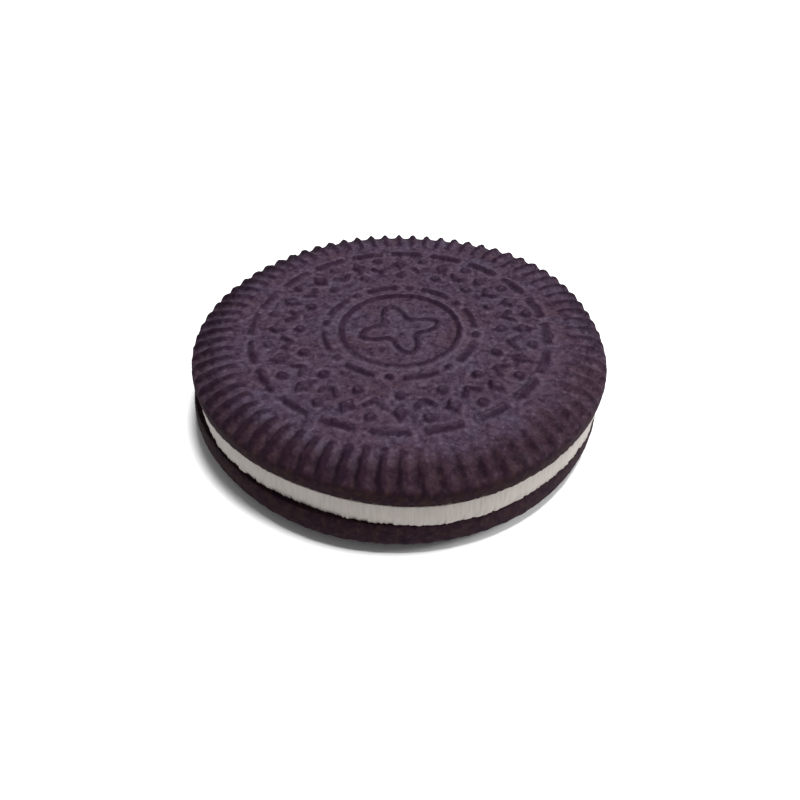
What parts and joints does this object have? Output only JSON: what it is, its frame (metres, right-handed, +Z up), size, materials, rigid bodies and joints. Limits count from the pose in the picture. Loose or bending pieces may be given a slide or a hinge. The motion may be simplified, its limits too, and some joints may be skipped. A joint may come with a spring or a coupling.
{
  "type": "chocolate sandwich cookie",
  "caption": "Round chocolate sandwich cookie: embossed dark cocoa wafers with a ribbed rim, holding a layer of white cream.",
  "frame": {"origin": "middle of the base, on the surface that the cookie lies on", "axes": "+Z upwards through the stack, face up; -Y towards the viewer"},
  "size_m": [0.045, 0.0446, 0.0092],
  "materials": {
    "cocoa_wafer": "dry, dark purple-brown baked cocoa biscuit with a fine gritty crumb",
    "white_cream": "smooth, matt, off-white sugar and fat cream"
  },
  "bodies": {
    "root": {"wafer_top": "cocoa_wafer", "cream_filling": "white_cream", "wafer_bottom": "cocoa_wafer"}
  },
  "joints": []
}
